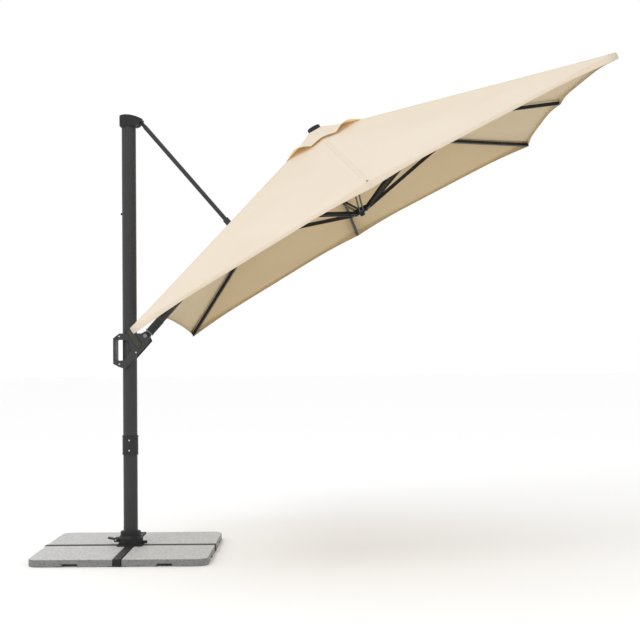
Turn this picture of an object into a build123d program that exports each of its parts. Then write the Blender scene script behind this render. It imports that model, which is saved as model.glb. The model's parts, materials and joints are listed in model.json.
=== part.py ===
from build123d import *
import os
from math import atan2, cos, degrees, hypot, radians, sin

# Cantilever parasol, millimetres. Origin on the mast axis at floor level.
# +X points from the mast to the canopy, +Y to the canopy's far side, +Z up.

# ---- clearances ----
RUN = 0.08            # radial clearance of a shaft in its hole
GAP = 0.5             # side clearance between moving flat parts
CLOTH_GAP = 0.8       # space between neighbouring fabric pieces

# ---- base ----
SLAB_SIDE = 475.0
SLAB_HEIGHT = 42.0
SLAB_CORNER = 60.0
SLAB_EDGE = 4.0
NOTCH_LENGTH = 98.0
NOTCH_HEIGHT = 17.0
NOTCH_DEPTH = 60.0
BAR_SIZE = 40.0
BAR_WALL = 2.5
BAR_SIDE_GAP = 5.0
LEDGE_WIDTH = 110.0
LEDGE_THICKNESS = 3.0
END_CAP_THICKNESS = 4.0
LEVELLING_HOLE = 4.5

# ---- swivel foot ----
PLATE_SIDE = 150.0
PLATE_THICKNESS = 6.0
PLATE_CORNER = 12.0
HUB_BOLT_RADIUS = 5.0
HUB_BOLT_HEAD_RADIUS = 8.5
HUB_BOLT_HEAD_HEIGHT = 6.0
HUB_BOLT_PITCH = 110.0
HOUSING_RADIUS = 72.0
HOUSING_TOP_RADIUS = 62.0
HOUSING_HEIGHT = 52.0
HOUSING_SHOULDER = 16.0
HOUSING_WALL = 6.0
HOUSING_ROOF = 18.0
COLLAR_HEIGHT = 24.0
COLLAR_RIM = 18.0
COLLAR_FLOOR = 6.0
COLLAR_EDGE = 4.0
COLLAR_BORE_GAP = 3.5
SPIGOT_RADIUS = 33.0
SPIGOT_WALL = 4.0
SPIGOT_HEIGHT = 330.0
BEARING_LENGTH = 60.0
BEARING_WALL = 8.0
PEDAL_LENGTH = 50.0
PEDAL_WIDTH = 46.0
PEDAL_THICKNESS = 7.0
PEDAL_PIN_RADIUS = 4.0
PEDAL_EYE_RADIUS = 10.0
PEDAL_CORNER = 12.0
PEDAL_TILT = 12.0
PEDAL_PIVOT_REACH = 14.0
PEDAL_PIVOT_RISE = 26.0
EAR_THICKNESS = 7.0
EAR_BELOW = 12.0
EAR_ABOVE = 10.0
EAR_OVERHANG = 9.0
LUG_REACH = 24.0
LUG_HALF_WIDTH = 12.0
LUG_BOTTOM = 2.0
LUG_TOP = 18.0
LUG_CORNER = 4.0

# ---- mast ----
MAST_RADIUS = 42.0
MAST_WALL = 2.5
MAST_JOINT_Z = 632.0
MAST_TOP_Z = 2560.0
SLEEVE_WALL = 4.5
SLEEVE_LENGTH = 112.0
SLEEVE_LIP = 1.2
SLEEVE_LIP_HEIGHT = 8.0
JOINT_SCREW_RISE = 30.0
CAP_BOTTOM_Z = 2521.0
CAP_HEIGHT = 68.0
CAP_BACK_WALL = 8.0
CAP_NOSE = 86.0
CAP_SIDE_WALL = 6.0
CAP_CORNER = 14.0
CAP_BACK_DROP = 7.0
CAP_CROWN_X = -16.0
CAP_SLOPE_X = 40.0
CAP_SLOPE_DROP = 8.0
CAP_NOSE_DROP = 27.0
CAP_NOSE_BACK = 24.0
CAP_NOSE_RISE = 6.0
CAP_PIN_INSET = 8.0
CAP_WALL = 4.0
CAP_SLOT_GAP = 3.0
STOP_Z = 2002.0
STOP_RADIUS = 8.0
STOP_PROUD = 1.0

# ---- carriage ----
CHEEK_THICKNESS = 7.0
CARRIAGE_TOP_Z = 1292.0
CARRIAGE_BOTTOM_Z = 1088.0
HANDLE_LEFT = 91.0
GRIP_THICKNESS = 14.0
GRIP_TOP_DROP = 34.0
GRIP_BOTTOM_RISE = 30.0
CHEEK_RIGHT = 127.0
CHEEK_CORNER = 5.0
HANDLE_TOP_SLOPE = 28.0
HANDLE_BOTTOM_SLOPE = 24.0
HANDLE_TOP_X = -55.0
SHOULDER_X = 78.0
HORN_X = 100.0
HORN_RISE = 14.0
NOSE_DROP = 46.0
FOOT_LEFT_X = -40.0
FOOT_RIGHT_X = -14.0
HOLE_TOP_DROP = 38.0
HOLE_BOTTOM_RISE = 42.0
HOLE_TOP_X = 0.0
HOLE_POINT_X = 15.0
HOLE_POINT_DROP = 100.0
HOLE_FOOT_X = -28.0
HOLE_FOOT_RISE = 46.0
HOLE_CORNER = 6.0
BUSH_WALL = 4.0
BUSH_HEIGHT = 26.0
BUSH_TOP_DROP = 4.0
BUSH_BOTTOM_RISE = 6.0
LOWER_BUSH_RIGHT = -12.0
BACKING_REACH = 20.0
TIE_REACH = 10.0
SCREW_RADIUS = 4.5
SCREW_HEAD = 2.0
SCREW_LEFT_X = -54.0
SCREW_RIGHT_X = 44.0
SCREW_TOP_DROP = 17.0
SCREW_MIDDLE_DROP = 112.0
SCREW_BOTTOM_RISE = 23.0

# ---- release lever ----
LEVER_LENGTH = 118.0
LEVER_WIDTH = 34.0
LEVER_THICKNESS = 8.0
LEVER_PIVOT_X = 58.0
LEVER_PIVOT_Z = 1222.0
LEVER_CORNER = 12.0
LEVER_LEAN = 122.0
LEVER_TAIL_X = 8.0
LEVER_TAIL_DROP = 10.0

# ---- arm and strut ----
ARM_PIVOT_X = 98.0
ARM_PIVOT_Z = 1277.0
ARM_RADIUS = 23.0
ARM_WALL = 2.0
PIVOT_BOLT_RADIUS = 8.0
BOLT_HEAD_RIM = 3.0
BOLT_HEAD_HEIGHT = 3.0
KNUCKLE_WIDTH = 60.0
KNUCKLE_RADIUS = 24.0
RING_START = 26.0
RING_LENGTH = 7.0
RING_WALL = 4.5
ARM_SLEEVE_LENGTH = 92.0
ARM_SLEEVE_WALL = 2.0
ARM_SCREW_RISE = 40.0
STRUT_PIVOT_X = 68.0
STRUT_PIVOT_Z = 2554.0
STRUT_REACH = 815.0    # distance of the strut joint from the arm pivot, along the arm
STRUT_HEIGHT = 26.0
STRUT_WIDTH = 40.0
STRUT_WALL = 2.0
STRUT_PIN_RADIUS = 6.0
EYE_WIDTH = 30.0
EYE_RADIUS = 15.0
STRUT_TUBE_START = 45.0
EYE_PLUG_LENGTH = 40.0
FORK_CHEEK = 6.0
FORK_LENGTH = 110.0
FORK_HEIGHT = 36.0
FORK_WEB = 24.0
FORK_SOCKET = 20.0
FORK_BOLT_RADIUS = 10.0
FORK_BOLT_HEAD = 5.0

# ---- canopy ----
CANOPY_TILT = 29.15
CANOPY_SIDE = 2700.0
CROWN_X = 1110.7
CROWN_Z = 2485.6
CORNER_DROP = 595.0
MID_DROP = 550.0
MAST_MID_DROP = 487.0
RIB_WIDTH = 16.0
RIB_HEIGHT = 20.0
RIB_WALL = 2.0
RIB_PIVOT_RADIUS = 48.0
RIB_PIVOT_DROP = 38.0
RIB_TONGUE = 10.0
RIB_TONGUE_HEIGHT = 14.0
RIB_EYE_RADIUS = 8.0
RIB_NECK_GAP = 14.0
RIB_PLUG_LENGTH = 30.0
RIB_UNDER_CLOTH = 16.0
TIP_SETBACK = 20.0
TIP_LENGTH = 12.0
RIB_PIN_RADIUS = 3.0
CROWN_HUB_RADIUS = 68.0
CROWN_HUB_HEIGHT = 32.0
HUB_PIN_GRIP = 8.0
HUB_SLOT_BEHIND = 12.0
HUB_SLOT_ROOF = 4.0
SOCKET_WALL = 5.0
SOCKET_LENGTH = 90.0
SOCKET_END = 10.0
NECK_RADIUS = 18.0
NECK_BOSS_RADIUS = 24.0
NECK_BOSS_HEIGHT = 26.0
ARM_AIM_DROP = 62.0    # the arm's axis meets the canopy's axis this far under the apex
ARM_END_GAP = 150.0
RUNNER_DROP = 545.0
RUNNER_RADIUS = 44.0
RUNNER_HEIGHT = 34.0
RUNNER_PIVOT_RADIUS = 66.0
RUNNER_LUG_START = 20.0
RUNNER_EYE_RADIUS = 9.0
RUNNER_PIN_END = 1.0
KNOB_RADIUS = 15.0
KNOB_HEIGHT = 16.0
KNOB_EDGE = 6.0
STRETCHER_THICKNESS = 4.5
STRETCHER_HEIGHT = 20.0
RIVET_RADIUS = 5.0
RIVET_HEAD = 2.0
CORNER_ATTACH = 880.0
MID_ATTACH = 904.0
CLOTH = 1.5
VENT_HOLE = 140.0      # half side of the opening in the main canopy
VENT_SIDE = 490.0
VENT_LIFT = 16.0
VENT_TOP_Z = 1.0
VENT_TOP_HALF = 12.0
VENT_WALL = 2.5
SLIT_START = 620.0
SLIT_END = 820.0
FINIAL_RADIUS = 40.0
FINIAL_HEIGHT = 26.0
FINIAL_EDGE = 8.0
FINIAL_STEM = 9.0

# ---- places that follow from the sizes above ----
ARM_AIM_X = CROWN_X + ARM_AIM_DROP * sin(radians(CANOPY_TILT))
ARM_AIM_Z = CROWN_Z - ARM_AIM_DROP * cos(radians(CANOPY_TILT))
ARM_ANGLE = degrees(atan2(ARM_AIM_Z - ARM_PIVOT_Z, ARM_AIM_X - ARM_PIVOT_X))
ARM_LENGTH = hypot(ARM_AIM_Z - ARM_PIVOT_Z, ARM_AIM_X - ARM_PIVOT_X)
ARM_END = ARM_LENGTH - ARM_END_GAP
SLEEVE_RADIUS = MAST_RADIUS + SLEEVE_WALL
COLLAR_RADIUS = MAST_RADIUS + COLLAR_RIM
CAP_LEFT = MAST_RADIUS + CAP_BACK_WALL
CAP_HALF_WIDTH = MAST_RADIUS + CAP_SIDE_WALL
RING_RADIUS = ARM_RADIUS + RING_WALL
JOINT_X = ARM_PIVOT_X + STRUT_REACH * cos(radians(ARM_ANGLE))
JOINT_Z = ARM_PIVOT_Z + STRUT_REACH * sin(radians(ARM_ANGLE))
STRUT_LENGTH = hypot(JOINT_X - STRUT_PIVOT_X, JOINT_Z - STRUT_PIVOT_Z)
STRUT_ANGLE = degrees(atan2(JOINT_Z - STRUT_PIVOT_Z, JOINT_X - STRUT_PIVOT_X))
HALF = CANOPY_SIDE / 2
SLAB_START = BAR_SIZE / 2 + BAR_SIDE_GAP
BASE_HALF = SLAB_START + SLAB_SIDE
HOUSING_BOTTOM_Z = BAR_SIZE + LEDGE_THICKNESS + PLATE_THICKNESS
HOUSING_TOP_Z = HOUSING_BOTTOM_Z + HOUSING_HEIGHT
COLLAR_BOTTOM_Z = HOUSING_TOP_Z + GAP
CHEEK_INSIDE = MAST_RADIUS + BUSH_WALL + RUN + GAP
CHEEK_OUTSIDE = CHEEK_INSIDE + CHEEK_THICKNESS
PEDAL_PIVOT_X = -(HOUSING_RADIUS + PEDAL_PIVOT_REACH)
PEDAL_PIVOT_Z = HOUSING_BOTTOM_Z + PEDAL_PIVOT_RISE
EAR_OUTSIDE = PEDAL_WIDTH / 2 + EAR_THICKNESS
BEARING_RADIUS = SPIGOT_RADIUS + BEARING_WALL

MAST_SIDE = 180

# azimuth of each rib about the canopy's axis; the arm and strut take the eighth place
RIBS = {
    "outer": 0,
    "outer_far": 45,
    "far": 90,
    "mast_far": 135,
    "mast_near": 225,
    "near": 270,
    "outer_near": 315,
}


def write(shape, name):
    export_step(shape, f"parts/{name}.step")


def block(x0, x1, y0, y1, z0, z1):
    """A box given by its limits."""
    box = Box(x1 - x0, y1 - y0, z1 - z0, align=Align.MIN)
    return Pos(x0, y0, z0) * box


def disc(radius, z0, z1, x=0.0, y=0.0):
    """An upright cylinder between two heights."""
    rod = Cylinder(radius, z1 - z0, align=(Align.CENTER, Align.CENTER, Align.MIN))
    return Pos(x, y, z0) * rod


def pin_y(radius, y0, y1, x, z):
    """A cylinder along Y."""
    rod = Cylinder(radius, y1 - y0, align=(Align.CENTER, Align.CENTER, Align.MIN))
    return Pos(x, y0, z) * Rot(-90, 0, 0) * rod


def pipe(radius, wall, z0, z1):
    return disc(radius, z0, z1) - disc(radius - wall, z0, z1)


def square_tube(length, width, height, wall):
    """A hollow bar along +X from the origin, centred on its axis."""
    outer = block(0, length, -width / 2, width / 2, -height / 2, height / 2)
    inner = block(0, length, -width / 2 + wall, width / 2 - wall, -height / 2 + wall, height / 2 - wall)
    return outer - inner


def plate_xz(points, y0, y1):
    """A plate with the given outline in the XZ plane, between two values of Y."""
    outline = Polygon(*points, align=None)
    solid = extrude(outline, amount=y1 - y0, dir=(0, 0, 1))
    return Pos(0, y1, 0) * Rot(90, 0, 0) * solid


def along_arm():
    """The frame with its origin on the arm pivot and +Z along the arm."""
    return Pos(ARM_PIVOT_X, 0, ARM_PIVOT_Z) * Rot(0, 90 - ARM_ANGLE, 0)


def along_strut():
    """The frame with its origin on the strut's top pin and +X along the strut."""
    return Pos(STRUT_PIVOT_X, 0, STRUT_PIVOT_Z) * Rot(0, -STRUT_ANGLE, 0)


def in_canopy():
    """The canopy's frame: origin at the apex of the cloth, +Z along the canopy's axis."""
    return Pos(CROWN_X, 0, CROWN_Z) * Rot(0, -CANOPY_TILT, 0)


# ---------------------------------------------------------------- base

def cross_bars():
    ledge_half = LEDGE_WIDTH / 2
    bar_half = BAR_SIZE / 2
    bar_top = LEDGE_THICKNESS + BAR_SIZE
    long_bar = block(-BASE_HALF, BASE_HALF, -bar_half, bar_half, LEDGE_THICKNESS, bar_top)
    inside = bar_half - BAR_WALL
    tunnel_z0 = LEDGE_THICKNESS + BAR_WALL
    tunnel_z1 = bar_top - BAR_WALL
    long_bar -= block(-BASE_HALF, BASE_HALF, -inside, inside, tunnel_z0, tunnel_z1)
    long_bar += block(-BASE_HALF, BASE_HALF, -ledge_half, ledge_half, 0, LEDGE_THICKNESS)
    for side in (-1, 1):
        long_bar -= disc(LEVELLING_HOLE, 0, 2 * BAR_SIZE, x=side * (BASE_HALF - BAR_SIZE))
    write(long_bar, "long_cross_bar")

    short_bar = block(bar_half, BASE_HALF, -bar_half, bar_half, LEDGE_THICKNESS, bar_top)
    short_bar -= block(bar_half, BASE_HALF, -inside, inside, tunnel_z0, tunnel_z1)
    short_bar += block(ledge_half, BASE_HALF, -ledge_half, ledge_half, 0, LEDGE_THICKNESS)
    short_bar -= disc(LEVELLING_HOLE, 0, 2 * BAR_SIZE, x=BASE_HALF - BAR_SIZE)
    pair = [Rot(0, 0, 90) * short_bar, Rot(0, 0, -90) * short_bar]
    write(Compound(children=pair), "short_cross_bars")


def bar_end_caps():
    half = BAR_SIZE / 2
    bar_top = LEDGE_THICKNESS + BAR_SIZE
    cap = block(BASE_HALF, BASE_HALF + END_CAP_THICKNESS, -half, half, LEDGE_THICKNESS, bar_top)
    caps = [Rot(0, 0, turn) * cap for turn in (0, 90, 180, 270)]
    write(Compound(children=caps), "bar_end_caps")


def slab():
    """One slab, in the quarter with positive X and Y."""
    start = SLAB_START
    end = SLAB_START + SLAB_SIDE
    middle = (start + end) / 2
    stone = block(start, end, start, end, 0, SLAB_HEIGHT)
    outer_corner = stone.edges().filter_by(Axis.Z).sort_by(lambda e: e.center().X + e.center().Y)[-1]
    stone = fillet(outer_corner, SLAB_CORNER)
    stone = chamfer(stone.faces().sort_by(Axis.Z)[-1].edges(), SLAB_EDGE)
    ledge_half = LEDGE_WIDTH / 2 + GAP
    stone -= block(start, end, start, ledge_half, 0, LEDGE_THICKNESS)
    stone -= block(start, ledge_half, start, end, 0, LEDGE_THICKNESS)
    half_top = NOTCH_LENGTH / 2 - NOTCH_HEIGHT / 2
    half_bottom = NOTCH_LENGTH / 2
    notch_points = [
        (middle - half_bottom, 0), (middle + half_bottom, 0),
        (middle + half_top, NOTCH_HEIGHT), (middle - half_top, NOTCH_HEIGHT),
    ]
    notch = plate_xz(notch_points, end - NOTCH_DEPTH, end)
    stone -= notch
    stone -= mirror(Rot(0, 0, -90) * notch, Plane.XZ)
    return stone


def slabs():
    first = slab()
    second = mirror(first, Plane.YZ)
    group = [first, second, mirror(first, Plane.XZ), mirror(second, Plane.XZ)]
    write(Compound(children=group), "slabs")


def centre_plate():
    half = PLATE_SIDE / 2
    bottom = LEDGE_THICKNESS + BAR_SIZE
    plate = block(-half, half, -half, half, bottom, bottom + PLATE_THICKNESS)
    plate = fillet(plate.edges().filter_by(Axis.Z), PLATE_CORNER)
    plate += pipe(SPIGOT_RADIUS, SPIGOT_WALL, bottom + PLATE_THICKNESS, bottom + SPIGOT_HEIGHT)
    pitch = HUB_BOLT_PITCH / 2
    places = [(pitch, 0), (-pitch, 0), (0, pitch), (0, -pitch)]
    for x, y in places:
        plate -= disc(HUB_BOLT_RADIUS, 0, bottom + PLATE_THICKNESS, x=x, y=y)
    write(plate, "centre_plate")

    head_z = bottom + PLATE_THICKNESS
    bolts = []
    for x, y in places:
        shank = disc(HUB_BOLT_RADIUS, bottom, head_z, x=x, y=y)
        head = extrude(RegularPolygon(radius=HUB_BOLT_HEAD_RADIUS, side_count=6), amount=HUB_BOLT_HEAD_HEIGHT)
        bolts.append(shank + Pos(x, y, head_z) * head)
    write(Compound(children=bolts), "hub_bolts")


def swivel_housing():
    profile = Polyline(
        (BEARING_RADIUS, HOUSING_BOTTOM_Z), (HOUSING_RADIUS, HOUSING_BOTTOM_Z),
        (HOUSING_RADIUS, HOUSING_TOP_Z - HOUSING_SHOULDER), (HOUSING_TOP_RADIUS, HOUSING_TOP_Z),
        (BEARING_RADIUS, HOUSING_TOP_Z), (BEARING_RADIUS, HOUSING_BOTTOM_Z),
    )
    shell = revolve(Plane.XZ * make_face(profile), axis=Axis.Z)
    shell -= disc(HOUSING_RADIUS - HOUSING_WALL, HOUSING_BOTTOM_Z, HOUSING_TOP_Z - HOUSING_ROOF)
    ear_z0 = PEDAL_PIVOT_Z - EAR_BELOW
    ear_z1 = PEDAL_PIVOT_Z + EAR_ABOVE
    inner = HOUSING_RADIUS - HOUSING_WALL + 1
    ear_inside = PEDAL_WIDTH / 2 + GAP
    for y0, y1 in ((-EAR_OUTSIDE, -ear_inside), (ear_inside, EAR_OUTSIDE)):
        ear = block(PEDAL_PIVOT_X - EAR_OVERHANG, -HOUSING_RADIUS / 2, y0, y1, ear_z0, ear_z1)
        shell += ear - disc(inner, ear_z0, ear_z1)
    lug_z0 = HOUSING_BOTTOM_Z + LUG_BOTTOM
    lug_z1 = HOUSING_BOTTOM_Z + LUG_TOP
    lug = block(inner, HOUSING_RADIUS + LUG_REACH, -LUG_HALF_WIDTH, LUG_HALF_WIDTH, lug_z0, lug_z1)
    shell += fillet(lug.edges().filter_by(Axis.Z), LUG_CORNER)
    shell -= pin_y(PEDAL_PIN_RADIUS, -PEDAL_WIDTH, PEDAL_WIDTH, PEDAL_PIVOT_X, PEDAL_PIVOT_Z)
    write(shell, "swivel_housing")

    bearing = pipe(BEARING_RADIUS, BEARING_WALL, HOUSING_TOP_Z - HOUSING_ROOF, HOUSING_TOP_Z)
    upper_z1 = LEDGE_THICKNESS + BAR_SIZE + SPIGOT_HEIGHT
    wall = MAST_RADIUS - MAST_WALL - RUN - SPIGOT_RADIUS
    upper = pipe(SPIGOT_RADIUS + wall, wall, upper_z1 - BEARING_LENGTH, upper_z1)
    write(Compound(children=[bearing, upper]), "swivel_bearings")


def foot_pedal():
    half = PEDAL_WIDTH / 2
    pin = pin_y(PEDAL_PIN_RADIUS, -EAR_OUTSIDE, EAR_OUTSIDE, PEDAL_PIVOT_X, PEDAL_PIVOT_Z)
    write(pin, "pedal_pin")
    eye = pin_y(PEDAL_EYE_RADIUS, -half, half, PEDAL_PIVOT_X, PEDAL_PIVOT_Z)
    blade = block(-PEDAL_LENGTH, 0, -half, half, -PEDAL_THICKNESS / 2, PEDAL_THICKNESS / 2)
    blade = fillet(blade.edges().filter_by(Axis.Z).sort_by(Axis.X)[:2], PEDAL_CORNER)
    blade = Pos(PEDAL_PIVOT_X, 0, PEDAL_PIVOT_Z) * Rot(0, PEDAL_TILT, 0) * blade
    pedal = eye + blade
    pedal -= pin_y(PEDAL_PIN_RADIUS + RUN, -half, half, PEDAL_PIVOT_X, PEDAL_PIVOT_Z)
    write(pedal, "foot_pedal")


# ---------------------------------------------------------------- mast

def mast():
    collar = disc(COLLAR_RADIUS, COLLAR_BOTTOM_Z, COLLAR_BOTTOM_Z + COLLAR_HEIGHT)
    collar = chamfer(collar.faces().sort_by(Axis.Z)[-1].edges(), COLLAR_EDGE)
    tube_z0 = COLLAR_BOTTOM_Z + COLLAR_FLOOR
    collar -= disc(MAST_RADIUS, tube_z0, COLLAR_BOTTOM_Z + COLLAR_HEIGHT)
    collar -= disc(SPIGOT_RADIUS + COLLAR_BORE_GAP, COLLAR_BOTTOM_Z, tube_z0)
    write(collar, "mast_foot_collar")
    write(pipe(MAST_RADIUS, MAST_WALL, tube_z0, MAST_JOINT_Z), "mast_lower_tube")
    write(pipe(MAST_RADIUS, MAST_WALL, MAST_JOINT_Z, MAST_TOP_Z), "mast_upper_tube")

    half = SLEEVE_LENGTH / 2
    sleeve = disc(SLEEVE_RADIUS, MAST_JOINT_Z - half, MAST_JOINT_Z + half)
    for z in (MAST_JOINT_Z - half, MAST_JOINT_Z + half - SLEEVE_LIP_HEIGHT):
        sleeve += disc(SLEEVE_RADIUS + SLEEVE_LIP, z, z + SLEEVE_LIP_HEIGHT)
    sleeve -= disc(MAST_RADIUS, MAST_JOINT_Z - half, MAST_JOINT_Z + half)
    screws = []
    for side in (-1, 1):
        z = MAST_JOINT_Z + side * JOINT_SCREW_RISE
        screw = pin_y(SCREW_RADIUS, -SLEEVE_RADIUS - SCREW_HEAD, -MAST_RADIUS, 0, z)
        sleeve -= screw
        screws.append(screw)
    write(sleeve, "mast_joint_sleeve")
    write(Compound(children=screws), "mast_joint_screws")

    stop = Pos(-MAST_RADIUS - STOP_PROUD, 0, STOP_Z) * Sphere(STOP_RADIUS)
    stop -= disc(MAST_RADIUS, STOP_Z - STOP_RADIUS, STOP_Z + STOP_RADIUS)
    write(stop, "carriage_stop")


def mast_cap():
    z0 = CAP_BOTTOM_Z
    z1 = CAP_BOTTOM_Z + CAP_HEIGHT
    back_top = (-CAP_LEFT, z1 - CAP_BACK_DROP)
    nose_top = (CAP_NOSE, z1 - CAP_NOSE_DROP)
    nose_foot = (CAP_NOSE - CAP_NOSE_BACK, z0 + CAP_NOSE_RISE)
    top = Spline(back_top, (CAP_CROWN_X, z1), (CAP_SLOPE_X, z1 - CAP_SLOPE_DROP), nose_top)
    side_left = Line((-CAP_LEFT, z0), back_top)
    nose = Line(nose_top, nose_foot)
    under = Polyline(nose_foot, (MAST_RADIUS + CAP_WALL, z0), (-CAP_LEFT, z0))
    outline = make_face(side_left + top + nose + under)
    solid = extrude(outline, amount=2 * CAP_HALF_WIDTH)
    cap = Pos(0, CAP_HALF_WIDTH, 0) * Rot(90, 0, 0) * solid
    cap = fillet(cap.edges().filter_by(Axis.Z), CAP_CORNER)
    cap -= disc(MAST_RADIUS, z0, MAST_TOP_Z)
    eye_half = EYE_WIDTH / 2 + GAP
    slot_x = STRUT_PIVOT_X - EYE_RADIUS - CAP_SLOT_GAP
    slot_top = STRUT_PIVOT_Z + EYE_RADIUS + CAP_SLOT_GAP
    cap -= block(slot_x, CAP_NOSE, -eye_half, eye_half, z0, slot_top)
    pin_half = CAP_HALF_WIDTH - CAP_PIN_INSET
    cap -= pin_y(STRUT_PIN_RADIUS, -pin_half, pin_half, STRUT_PIVOT_X, STRUT_PIVOT_Z)
    write(cap, "mast_cap")
    write(pin_y(STRUT_PIN_RADIUS, -pin_half, pin_half, STRUT_PIVOT_X, STRUT_PIVOT_Z), "strut_top_pin")


# ---------------------------------------------------------------- carriage

def carriage():
    left = -HANDLE_LEFT
    right = CHEEK_RIGHT
    top = CARRIAGE_TOP_Z
    bottom = CARRIAGE_BOTTOM_Z
    outline = [
        (left, bottom + HANDLE_BOTTOM_SLOPE), (left, top - HANDLE_TOP_SLOPE), (HANDLE_TOP_X, top),
        (SHOULDER_X, top), (HORN_X, top + HORN_RISE), (right, top - NOSE_DROP),
        (FOOT_RIGHT_X, bottom), (FOOT_LEFT_X, bottom),
    ]
    hole = [
        (left + GRIP_THICKNESS, bottom + HOLE_BOTTOM_RISE), (left + GRIP_THICKNESS, top - HOLE_TOP_DROP),
        (HOLE_TOP_X, top - HOLE_TOP_DROP), (HOLE_POINT_X, top - HOLE_POINT_DROP),
        (HOLE_FOOT_X, bottom + HOLE_FOOT_RISE),
    ]
    cheeks = []
    for y0, y1 in ((-CHEEK_OUTSIDE, -CHEEK_INSIDE), (CHEEK_INSIDE, CHEEK_OUTSIDE)):
        cheek = plate_xz(outline, y0, y1)
        cheek = fillet(cheek.edges().filter_by(Axis.Y), CHEEK_CORNER)
        cheek -= fillet(plate_xz(hole, y0, y1).edges().filter_by(Axis.Y), HOLE_CORNER)
        cheek -= pin_y(PIVOT_BOLT_RADIUS, y0, y1, ARM_PIVOT_X, ARM_PIVOT_Z)
        cheeks.append(cheek)
    write(Compound(children=cheeks), "carriage_cheeks")

    grip_z0 = bottom + GRIP_BOTTOM_RISE
    grip_z1 = top - GRIP_TOP_DROP
    grip = block(left, left + GRIP_THICKNESS, -CHEEK_INSIDE, CHEEK_INSIDE, grip_z0, grip_z1)
    grip = fillet(grip.edges().filter_by(Axis.Y), CHEEK_CORNER)
    write(grip, "handle_grip")

    outer = MAST_RADIUS + RUN + BUSH_WALL
    upper_z1 = top - BUSH_TOP_DROP
    upper_z0 = upper_z1 - BUSH_HEIGHT
    lower_z0 = bottom + BUSH_BOTTOM_RISE
    lower_z1 = lower_z0 + BUSH_HEIGHT
    upper = disc(outer, upper_z0, upper_z1)
    lower = disc(outer, lower_z0, lower_z1)
    lower = lower & block(-outer, LOWER_BUSH_RIGHT, -outer, outer, lower_z0, lower_z1)
    backing_left = -MAST_RADIUS - BACKING_REACH
    backing = block(backing_left, -outer + 2 * BUSH_WALL, -CHEEK_INSIDE, CHEEK_INSIDE, lower_z0, lower_z1)
    tie_half = MAST_RADIUS + TIE_REACH
    tie = block(-tie_half, tie_half, -CHEEK_INSIDE, CHEEK_INSIDE, upper_z0, upper_z1)
    bore = disc(MAST_RADIUS + RUN, bottom, top)
    write(Compound(children=[(upper + tie) - bore, (lower + backing) - bore]), "guide_bushes")

    places = [
        (SCREW_LEFT_X, top - SCREW_TOP_DROP), (SCREW_RIGHT_X, top - SCREW_MIDDLE_DROP),
        (SCREW_LEFT_X, bottom + SCREW_BOTTOM_RISE),
    ]
    screws = []
    for x, z in places:
        screws.append(pin_y(SCREW_RADIUS, -CHEEK_OUTSIDE - SCREW_HEAD, -CHEEK_OUTSIDE, x, z))
        screws.append(pin_y(SCREW_RADIUS, CHEEK_OUTSIDE, CHEEK_OUTSIDE + SCREW_HEAD, x, z))
    write(Compound(children=screws), "carriage_screws")

    bolt = pin_y(PIVOT_BOLT_RADIUS, -CHEEK_OUTSIDE, CHEEK_OUTSIDE, ARM_PIVOT_X, ARM_PIVOT_Z)
    head = PIVOT_BOLT_RADIUS + BOLT_HEAD_RIM
    for y0 in (-CHEEK_OUTSIDE - BOLT_HEAD_HEIGHT, CHEEK_OUTSIDE):
        bolt += pin_y(head, y0, y0 + BOLT_HEAD_HEIGHT, ARM_PIVOT_X, ARM_PIVOT_Z)
    write(bolt, "arm_pivot_bolt")


def release_lever():
    y1 = -CHEEK_OUTSIDE - GAP
    y0 = y1 - LEVER_THICKNESS
    paddle = block(0, LEVER_LENGTH, y0, y1, -LEVER_WIDTH / 2, LEVER_WIDTH / 2)
    paddle = fillet(paddle.edges().filter_by(Axis.Y), LEVER_CORNER)
    tail = Pos(LEVER_PIVOT_X + LEVER_TAIL_X, 0, LEVER_PIVOT_Z - LEVER_TAIL_DROP)
    lever = tail * Rot(0, -LEVER_LEAN, 0) * paddle
    write(lever, "release_lever")


# ---------------------------------------------------------------- arm and strut

def arm():
    width = KNUCKLE_WIDTH / 2
    eye = pin_y(KNUCKLE_RADIUS, -width, width, ARM_PIVOT_X, ARM_PIVOT_Z)
    neck = along_arm() * disc(ARM_RADIUS - ARM_WALL - RUN, 0, RING_START + ARM_SLEEVE_LENGTH)
    knuckle = eye + neck
    knuckle -= pin_y(PIVOT_BOLT_RADIUS + RUN, -width, width, ARM_PIVOT_X, ARM_PIVOT_Z)
    write(knuckle, "arm_knuckle")
    ring = disc(RING_RADIUS, RING_START, RING_START + RING_LENGTH)
    ring -= disc(ARM_RADIUS - ARM_WALL - RUN, RING_START, RING_START + RING_LENGTH)
    write(along_arm() * ring, "twist_ring")

    start = RING_START + RING_LENGTH + GAP
    end = ARM_END
    tube = disc(ARM_RADIUS, start, end) - disc(ARM_RADIUS - ARM_WALL, start, end)
    write(along_arm() * tube, "arm_tube")
    sleeve = disc(ARM_RADIUS + ARM_SLEEVE_WALL, start, start + ARM_SLEEVE_LENGTH)
    sleeve -= disc(ARM_RADIUS, start, start + ARM_SLEEVE_LENGTH)
    face = -ARM_RADIUS - ARM_SLEEVE_WALL
    screw = pin_y(SCREW_RADIUS, face - SCREW_HEAD, face, 0, start + ARM_SCREW_RISE)
    write(along_arm() * Compound(children=[sleeve, screw]), "arm_sleeve")


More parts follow.
